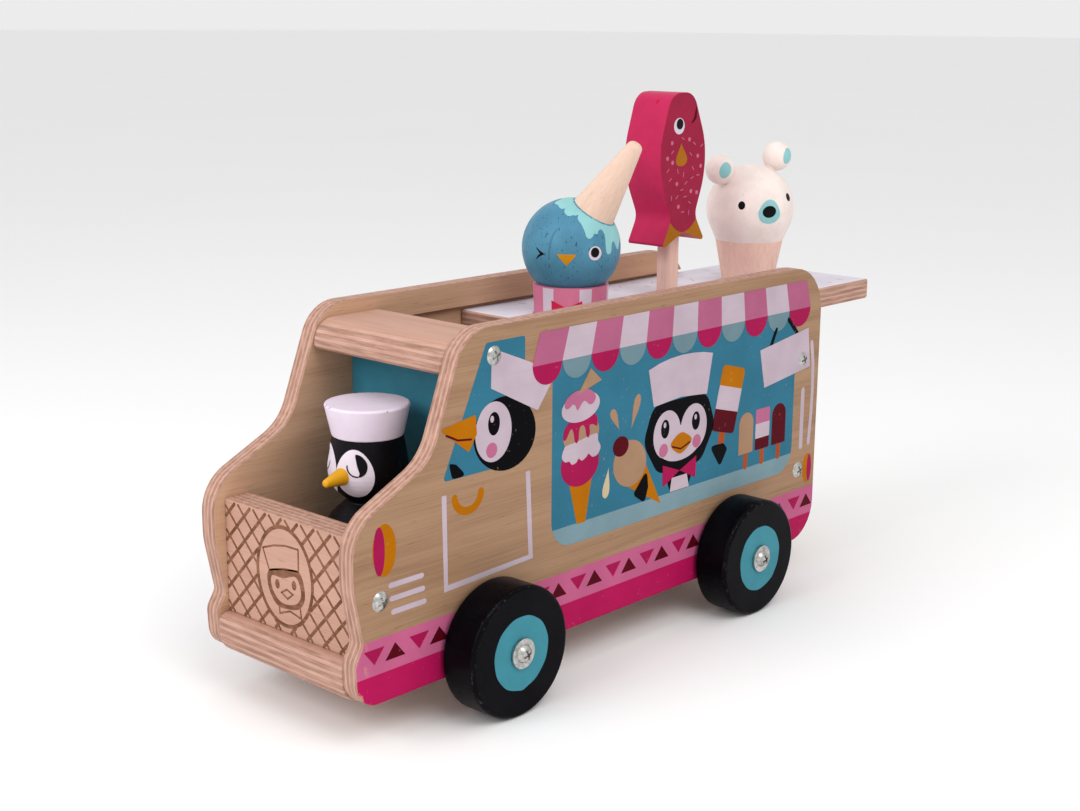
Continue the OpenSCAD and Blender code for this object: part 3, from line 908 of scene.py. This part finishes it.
def lattice_runs(start, slope):
    """The stretches of one slanted line that lie on the panel and outside the oval."""
    half_u, half_v, shortest = 5.4, 5.53 * slope, 0.15
    low_u, high_u, low_v, high_v = -41.2, 40.6, 40.4, 90.6
    limits = [sorted(((low_u - start[0]) / half_u, (high_u - start[0]) / half_u)),
              sorted(((low_v - start[1]) / half_v, (high_v - start[1]) / half_v))]
    first, last = max(limits[0][0], limits[1][0]), min(limits[0][1], limits[1][1])
    if first >= last:
        return []
    du, dv = (start[0] - OVAL[0]) / OVAL[2], (start[1] - OVAL[1]) / OVAL[3]
    su, sv = half_u / OVAL[2], half_v / OVAL[3]
    a, b, c = su * su + sv * sv, 2 * (du * su + dv * sv), du * du + dv * dv - 1
    inside = b * b - 4 * a * c
    runs = [(first, last)]
    if inside > 0:
        enter, leave = (-b - math.sqrt(inside)) / (2 * a), (-b + math.sqrt(inside)) / (2 * a)
        runs = [(first, min(last, enter)), (max(first, leave), last)]
    runs = [run for run in runs if run[1] - run[0] > shortest]
    return [[(start[0] + t * half_u, start[1] + t * half_v) for t in run] for run in runs]


def paint_lattice():
    art = Artwork("panel_lattice", "truck", on_panel)
    pitch, row, first = 10.8, 86.4, -39
    for i in range(-8, 15):
        start = (first + pitch * i, row)
        for slope, width, level in ((1, 1.6, 1), (-1, 1.15, 2)):
            for run in lattice_runs(start, slope):
                art.add(BURNT, stroke(run, width), level)
    art.finish()


def paint_badge():
    """An oval with a plain hatted penguin's head, in burnt lines."""
    art = Artwork("panel_badge", "truck", on_panel)
    u, v, wide, high = OVAL
    line, steps = 1.7, 72
    rim = ellipse(u, v, wide, high, steps=steps)
    art.ring(BURNT, rim, ellipse(u, v, wide - line, high - line, steps=steps), 3)
    hat = [(-15.6, 75.2), (-8, 77.8), (0, 79.4), (8.6, 79.6), (8.4, 69.8), (-2, 68.6), (-11.6, 66)]
    art.add(BURNT, stroke(hat + hat[:1], 0.9, cap=2), 1)
    head = smooth([(-12, 65.6), (-12.4, 58), (-7, 51.2), (1, 51), (9, 53.4), (12.4, 60), (9, 69.4),
                   (-2, 68.4)], steps=8)
    face = smooth([(-9.8, 63.8), (-10, 58.4), (-5.4, 53.6), (1, 53), (7.4, 55.4), (9.8, 60.4), (6.6, 66.8),
                   (-2, 64.4)], steps=8)
    art.ring(BURNT, head, face, 1)
    for spot in ((-6.2, 60.8), (5.2, 62.8)):
        art.add(BURNT, ellipse(*spot, 1.5, 2.1), 2)
    beak = [(-3.6, 57.6), (0.2, 59.8), (4.2, 58.4), (0.6, 55.6)]
    art.add(BURNT, stroke(beak + beak[:1], 0.8, cap=2), 2)
    bow = [(-5.4, 52.6), (-5, 47.8), (2, 50.4), (9.6, 48.8), (9, 53.4), (2, 50.4)]
    art.add(BURNT, stroke(bow[:3], 0.8), 2)
    art.add(BURNT, stroke(bow[2:5], 0.8), 3)
    art.finish()


# ---- Tray ----

def paint_tray():
    """Sparse sprinkles over the tray's top, clear of the seats."""
    chance = random.Random(11)
    art = Artwork("tray_sprinkles", "tray", on_tray)
    seats = [middle(node) for node in ("bird_cup", "fish_stick", "bear_cup")]
    inks = [make_print("sprinkle_" + name, colour) for name, colour in
            (("tan", tint(198, 170, 150)), ("pink", tint(212, 172, 186)), ("grey", tint(196, 186, 198)))]
    count, margin, half_width, seat_clear, apart = 46, 6, 39, 26, 9
    low_u, high_u = tray_low.x / MM + margin, tray_high.x / MM - margin
    spots = []
    while len(spots) < count:
        spot = Vector((chance.uniform(low_u, high_u), chance.uniform(-half_width, half_width)))
        clear = all((spot - Vector((s.x, s.y)) / MM).length > seat_clear for s in seats)
        if clear and all((spot - other).length > apart for other in spots):
            spots.append(spot)
    for spot in spots:
        turn = chance.uniform(0, math.pi)
        arm = Vector((math.cos(turn), math.sin(turn))) * chance.uniform(1.2, 2.6)
        art.add(chance.choice(inks), stroke([spot - arm, spot + arm], chance.uniform(0.9, 1.3)), 1)
    art.finish()


# ---- Wheels ----

def paint_wheels():
    """Black wheels, each with a ring of teal paint round its hub whose edge wavers and drips a little."""
    hub, bore, steps = 16.9, 3.2, 72
    black = {end: make_wheel_paint(end + "_wheel_black", f"wheel_{end}_left") for end in ("front", "rear")}
    for place in ("front_left", "front_right", "rear_left", "rear_right"):
        node = "wheel_" + place
        centre = middle(node)
        low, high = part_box(node)
        side = 1 if centre.y > 0 else -1
        face = max(abs(low.y), abs(high.y))
        phase = centre.x * 40 + side

        def on_hub(u, v, h, centre=centre, side=side, face=face):
            return Vector((centre.x + u * MM, side * (face + h * MM), centre.z + v * MM))

        outer, inner = [], []
        for i in range(steps):
            angle = 2 * math.pi * i / steps
            drip = math.exp(-((angle - 4.1 - phase * 0.1) / 0.12) ** 2)
            out = hub + 0.12 * math.sin(3 * angle + phase) + 0.08 * math.sin(11 * angle) + 0.5 * drip
            outer.append((out * math.cos(angle), out * math.sin(angle)))
            inner.append((bore * math.cos(angle), bore * math.sin(angle)))
        art = Artwork("hub_paint_" + place, node, on_hub)
        art.ring(HUB_TEAL, outer, inner, 2)
        art.finish()
        dress(node, black[place.split("_")[0]])


# ---- Figures ----

def paint_bird():
    cup = middle("bird_cup")
    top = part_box("bird_ball")[1]
    centre = Vector((cup.x, cup.y, top.z - (top.x - cup.x)))
    place = on_ball("bird_ball", centre, BIRD_TURN)
    art = Artwork("bird_face", "bird_ice_cream", place, PAINT_STEP, cell=4)
    wink = [(-45.8, 5.4), (-39, 1.6), (-33.6, -1.6), (-39.6, -4.6), (-45.8, -8.8), (-42, -3.4),
            (-39.6, -1.6), (-41.6, 0.8)]
    art.add(EYE_BLACK, smooth(wink, steps=4), 1)
    art.add(BEAK_ORANGE, rounded([(-18.6, -0.6), (5.2, -0.6), (-6.6, -13.8)], 1.4), 1)
    art.add(EYE_WHITE, ellipse(27.2, 0, 8.2, 8), 1)
    art.add(EYE_BLACK, ellipse(26.8, 1, 5.4, 5.6), 2)
    streak = [(-17, 30), (-21.5, 23), (-24.4, 13.5), (-26.6, -3.5), (-28.2, -3), (-27.4, 13.5), (-23.2, 25)]
    art.add(make_paint("ball_streak", tint(68, 120, 146), roughness=0.5), smooth(streak, steps=4), 1)
    art.finish()
    paint_icing(centre)
    paint_cup(cup)


# The way that the cone hat leans and rises, and the icing's edge on the side where the face is
CONE_TURN, CONE_RISE = 112, 57.5
CONE_TILT = (math.sin(math.radians(CONE_TURN)), -math.cos(math.radians(CONE_TURN)), 0)
CONE_AXIS = outward(CONE_TURN, CONE_RISE)
ICING_FRONT = [
    (-34, 61), (-26, 57), (-20, 56), (-15, 57), (-15, 52), (-10, 47), (-5, 45), (0, 46.5), (5, 46), (10, 47),
    (8, 41), (12, 34.5), (15, 27), (17, 19), (21, 16.8), (25, 19), (28, 22.5), (32, 21.5), (35, 25.5),
    (40, 26.5), (43, 20), (42, 8), (43, 0), (47, -2.5), (51, 0), (53, 9), (58, 11), (61, 6), (66, 1), (71, 5),
    (74, 15)]


def paint_icing(centre):
    """Icing that runs down the ball in uneven drips from under the cone hat."""
    surface = surface_of("bird_ball")
    side = Vector((0, 0, 1)).cross(CONE_AXIS).normalized()
    down = side.cross(CONE_AXIS)

    def place(turn, spread, h):
        """turn runs round the hat from the ball's lowest side, spread is the angle from the hat's axis."""
        a, s = math.radians(turn), math.radians(spread)
        out = CONE_AXIS * math.cos(s) + (down * math.cos(a) + side * math.sin(a)) * math.sin(s)
        return lay_on(surface, centre, out, h)

    def seen_from_hat(left, up):
        out = outward(BIRD_TURN + left, up)
        return math.degrees(math.atan2(out.dot(side), out.dot(down))), math.degrees(out.angle(CONE_AXIS))

    front = [seen_from_hat(*spot) for spot in ICING_FRONT]
    first, last = front[0], front[-1]
    step = 1 if last[0] > first[0] else -1
    span = 360 - abs(last[0] - first[0])
    back = []
    count, hidden = 54, 22
    for i in range(1, count):
        share = i / count
        lobes = abs(math.sin(share * math.pi * 8)) ** 0.8
        depth = 40 + 7 * lobes + 9 * lobes * math.sin(share * 14 + 0.5) ** 2
        ease = min(1, share * 8, (1 - share) * 8)
        level = last[1] * (1 - share) + first[1] * share
        back.append((last[0] + step * span * share, level * (1 - ease) + depth * ease))
    edge = smooth(front, steps=4)[:-4] + back
    edge.append((edge[0][0] + step * 360, edge[0][1]))
    outline = edge + [(turn, hidden) for turn, _ in reversed(edge)]
    art = Artwork("bird_icing", "bird_ice_cream", place, PAINT_STEP, cell=5)
    art.add(MINT, outline, 1)
    art.finish()


def paint_cup(cup):
    """White stripes round the pink cup, and a bow tie in front."""
    low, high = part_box("bird_cup")
    bottom, rim = low.z / MM + 0.2, high.z / MM - 0.5
    white = make_paint("cup_white", tint(210, 193, 207), roughness=0.4)
    red = make_paint("cup_red", tint(200, 34, 70), roughness=0.4)
    place = around("bird_cup", cup, BIRD_TURN)
    art = Artwork("bird_cup_stripes", "bird_ice_cream", place, PAINT_STEP, cell=6)
    stripes, first, half = 6, -38, 10
    for i in range(stripes):
        left, right = (first + i * 360 / stripes + edge for edge in (-half, half))
        art.add(white, [(left, bottom), (right, bottom), (right, rim), (left, rim)], 1)
    u, v = -7.5, 161.5
    for side in (-1, 1):
        tip = u + side * 24
        art.add(red, [(u, v + 1.2), (tip, v + 4.6), (tip, v - 4.6), (u, v - 1.2)], 2)
    art.add(red, ellipse(u, v, 4.5, 1.8, steps=16), 3)
    art.finish()


def paint_bear():
    cup = middle("bear_cup")
    low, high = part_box("bear_head")
    radius = (high.x - low.x) / 2
    centre = Vector((cup.x, cup.y, high.z - radius))
    place = on_ball("bear_head", centre, BEAR_TURN)
    art = Artwork("bear_face", "bear_ice_cream", place, PAINT_STEP, cell=4)
    snout = smooth([(-25.6, -2), (-22, 8), (-15, 14.8), (-8, 16.2), (-1, 12.6), (4.6, 3), (6, -5),
                    (1, -12), (-10, -15.2), (-21, -12)], steps=5)
    art.add(MINT, snout, 1)
    art.add(EYE_BLACK, ellipse(-10.5, 0.6, 9.6, 7.6, tilt=6), 2)
    art.add(EYE_BLACK, ellipse(-47.5, 8.6, 4.6, 5.4), 1)
    art.add(EYE_BLACK, ellipse(26.2, 17.6, 4.9, 5.4), 1)
    art.finish()
    ear_radius = 8 * MM
    for side, forward, tilt in (("left", 86, 4), ("right", 58, 2)):
        ear = "bear_ear_" + side
        spot, top = middle(ear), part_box(ear)[1]
        spot.z = top.z - ear_radius
        patch = Artwork(ear + "_patch", "bear_ice_cream", on_ball(ear, spot, forward), PAINT_STEP, cell=8)
        patch.add(MINT, ellipse(0, tilt, 24, 33, tilt=-18), 1)
        patch.finish()


# The fish's body line: the centre and half sizes of an ellipse. Below this height the rest is tail.
FISH_BALL = (72.5, 232, 20.5, 40.2)
FISH_TAIL = 206


def paint_fish():
    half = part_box("fish_body")[1].y
    red, dark_red = tint(152, 26, 60), tint(112, 22, 46)
    front = make_paint("fish_front", red, roughness=0.42, along=0, grain=0.5, speck=dark_red)
    pale = make_paint("fish_sprinkle", tint(188, 104, 132), roughness=0.45)
    gill = smooth([(63.4, 255.6), (63.4, 250.4), (65.2, 248), (67.8, 247), (65.6, 249.6),
                   (64.8, 252.4)], steps=4)
    for side, name in ((1, "left"), (-1, "right")):
        def on_fish(u, v, h, side=side):
            return Vector((TAIL + u * MM, side * (half + h * MM), v * MM))

        art = Artwork(f"fish_{name}_face", "fish_lolly", on_fish, PAINT_STEP)
        lay_fish_face(art, side, front)
        art.add(EYE_WHITE, ellipse(77.6, 246, 4.3, 4.1), 2)
        art.add(EYE_BLACK, ellipse(77.2, 247, 2.7, 2.7), 3)
        art.add(FIN_ORANGE, drop((75.6, 237.6), (74.9, 225.6), 9.4), 2)
        art.add("maroon", gill, 2)
        sprinkle_fish(art, pale)
        art.finish()
    chip_fish()


def chip_fish():
    """A small chip of bright red on the lolly's thick side, near its top."""
    surface = surface_of("fish_body")

    def on_side(left, height, h):
        return lay_on(surface, Vector((0, left * MM, height * MM)), Vector((1, 0, 0)), h)

    art = Artwork("fish_chip", "fish_lolly", on_side, PAINT_STEP)
    bright = make_paint("fish_chip", tint(186, 6, 44), roughness=0.45)
    art.add(bright, rounded([(3, 256.9), (3.9, 258.2), (3.2, 259.6), (2.2, 258.3)], 0.3), 1)
    art.finish()


def lay_fish_face(art, side, front):
    """Paints the fish's flat face: darker inside its body line, orange on the two tail tips."""
    mesh = bmesh.new()
    mesh.from_mesh(frame["nodes"]["fish_body"].data)
    bmesh.ops.remove_doubles(mesh, verts=mesh.verts, dist=1e-6)
    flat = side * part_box("fish_body")[1].y
    away = [f for f in mesh.faces
            if abs(f.calc_center_median().y - flat) > 0.5 * MM or f.normal.y * side < 0.9]
    bmesh.ops.delete(mesh, geom=away, context="FACES")
    for v in mesh.verts:
        v.co = Vector(((v.co.x - TAIL) / MM, v.co.z / MM, 0))
    u, v, wide, high = FISH_BALL
    steps = 14
    for i in range(steps + 1):
        angle = math.radians(-150 + 120 * i / steps)
        point = Vector((u + wide * math.cos(angle), v + high * math.sin(angle), 0))
        normal = Vector((math.cos(angle) / wide, math.sin(angle) / high, 0)).normalized()
        near = [f for f in mesh.faces if min(c.co.y for c in f.verts) < FISH_TAIL]
        geom = list({e for f in near for e in f.edges}) + list({c for f in near for c in f.verts}) + near
        bmesh.ops.bisect_plane(mesh, geom=geom, plane_co=point, plane_no=normal, dist=1e-4)
    for material, outside in ((front, False), (FIN_ORANGE, True)):
        part = mesh.copy()
        gone = []
        for face in part.faces:
            spot = face.calc_center_median()
            beyond = ((spot.x - u) / wide) ** 2 + ((spot.y - v) / high) ** 2 > 1
            if (beyond and spot.y < FISH_TAIL) != outside:
                gone.append(face)
        bmesh.ops.delete(part, geom=gone, context="FACES")
        if part.faces:
            art.lay(material, part, 1)
    mesh.free()


def sprinkle_fish(art, pale):
    """Short pale dashes and dots on the lower body, clear of its edge and of the beak."""
    chance = random.Random(5)
    u, v, wide, high = FISH_BALL
    count, apart, size = 30, 4.6, 1.1
    spots = []
    while len(spots) < count:
        spot = Vector((chance.uniform(u - 18, u + 18), chance.uniform(200, 240)))
        inside = ((spot.x - u) / (wide - 4.5)) ** 2 + ((spot.y - v) / (high - 4)) ** 2 < 0.8
        beak = ((spot.x - 75) / 7) ** 2 + ((spot.y - 231) / 8.5) ** 2 < 1
        if inside and not beak and all((spot - other).length > apart for other in spots):
            spots.append(spot)
    for i, spot in enumerate(spots):
        if i % 3 == 0:
            art.add(pale, ellipse(spot.x, spot.y, size, size, steps=14), 2)
        else:
            turn = chance.uniform(0, math.pi)
            arm = Vector((math.cos(turn), math.sin(turn))) * size
            art.add(pale, stroke([spot - arm, spot + arm], 0.5, cap=4), 2)


def paint_driver():
    """A white face of two lobes, with two closed, smiling eyes; the fold is the line between its halves."""
    centre = middle("driver_body")
    centre.z = 104 * MM
    place = on_ball("driver_body", centre, DRIVER_TURN)
    fold = -10
    lobe = ellipse(19.5, 2.5, 30, 35.5, steps=48)
    pupil = smooth([(22, 32.4), (30.5, 31), (37.4, 25), (39.8, 17.6), (37.6, 9.4), (32.4, 4.6), (26.8, 3.4),
                    (28.6, 8.4), (25.4, 17), (23.2, 25)], steps=4)
    lash = arc_line(24.6, 18, 15.2, 14.6, 182, 92)
    art = Artwork("driver_face", "truck", place, PAINT_STEP, cell=4)
    white = make_paint("face_white", tint(226, 214, 226), roughness=0.4)
    for shape, material, near, far in ((lobe, white, 1, 2), (pupil, EYE_BLACK, 3, 3),
                                       (stroke(lash, 1.9), EYE_BLACK, 3, 3)):
        art.add(material, shape, near)
        art.add(material, mirrored(shape, fold), far)
    art.finish()


def paint_nodes():
    """Materials of the CAD pieces that show as they are."""
    looks = {
        "driver_body": BLACK,
        "driver_hat": make_hat_paint("hat_white"),
        "driver_beak": YELLOW,
        "bird_cup": make_paint("cup_pink", tint(208, 116, 146), roughness=0.4),
        "bird_ball": make_paint("ball_blue", tint(80, 136, 163), speck=tint(38, 68, 84), mottle=0.2,
                                rare=0.66),
        "bird_cone_hat": make_bare_wood("cone_beech", tint(226, 198, 180), tint(210, 178, 159), CONE_TILT,
                                        math.radians(90 - CONE_RISE)),
        "fish_body": make_paint("fish_red", tint(188, 38, 84), roughness=0.42, speck=tint(140, 28, 58)),
        "fish_stick": BARE,
        "bear_cup": BARE,
        "bear_head": make_paint("bear_ivory", tint(240, 225, 219), roughness=0.48, speck=tint(208, 190, 182)),
        "left_wall_screws": STEEL,
        "right_wall_screws": STEEL,
    }
    for side in ("left", "right"):
        looks["bear_ear_" + side] = looks["bear_head"]
    for place in ("front_left", "front_right", "rear_left", "rear_right"):
        looks["washer_" + place] = STEEL
        looks["axle_screw_" + place] = STEEL
    for node, material in looks.items():
        dress(node, material)


# ---- Stage, light and camera ----

def make_stage():
    """A pale floor out to the horizon, and even light from all round."""
    half_size, brightness = 30, 0.84
    mesh = bmesh.new()
    bmesh.ops.create_grid(mesh, x_segments=1, y_segments=1, size=half_size)
    data = bpy.data.meshes.new("floor")
    mesh.to_mesh(data)
    mesh.free()
    m = Material("floor_pale", Roughness=0.9, Specular_IOR_Level=0.1)
    m.colour(m.mix(m.noise(2.0), (0.92, 0.92, 0.92, 1), (0.94, 0.94, 0.94, 1)))
    data.materials.append(m.material)
    link("floor", data)
    world = bpy.data.worlds.new("studio")
    world.use_nodes = True
    background = world.node_tree.nodes["Background"]
    background.inputs["Color"].default_value = (1, 1, 1, 1)
    background.inputs["Strength"].default_value = brightness
    bpy.context.scene.world = world


def make_light(name, place, target, size, power):
    """A soft box at a place, turned to its target; its power is in watts."""
    data = bpy.data.lights.new(name, "AREA")
    data.shape = "RECTANGLE"
    data.size, data.size_y = size
    data.energy = power
    light = link(name, data)
    light.location = place
    light.rotation_euler = (Vector(target) - Vector(place)).to_track_quat("-Z", "Y").to_euler()


def make_camera():
    """Looks down a little on the truck's nose and left side, with the lens in millimetres."""
    place, lens = Vector((598.8, 526.6, 298.65)) * MM, 54.16
    azimuth, elevation, roll = math.radians(132.73), math.radians(13.4), math.radians(0.4)
    back = Vector((math.sin(azimuth) * math.cos(elevation), -math.cos(azimuth) * math.cos(elevation),
                   math.sin(elevation)))
    level = Vector((math.cos(azimuth), math.sin(azimuth), 0))
    upright = back.cross(level)
    right = level * math.cos(roll) + upright * math.sin(roll)
    up = upright * math.cos(roll) - level * math.sin(roll)
    data = bpy.data.cameras.new("camera")
    data.sensor_width = 36
    data.lens = lens
    data.clip_start = 0.01
    camera = link("camera", data)
    camera.matrix_world = Matrix((right, up, back)).transposed().to_4x4()
    camera.matrix_world.translation = place
    bpy.context.scene.camera = camera


make_camera()
make_stage()
make_light("key", (1.2, -0.15, 0.85), (0.05, 0, 0.08), (0.7, 0.6), 7)
make_light("fill", (0.3, 0.9, 1.1), (0, 0, 0.12), (0.9, 0.7), 6)
bpy.context.scene.view_settings.view_transform = "Standard"

boards = make_boards()
paint_wall("left", 1, boards["left"])
paint_wall("right", -1, boards["right"])
paint_lattice()
paint_badge()
paint_tray()
paint_nodes()
paint_wheels()
paint_bird()
paint_bear()
paint_fish()
paint_driver()
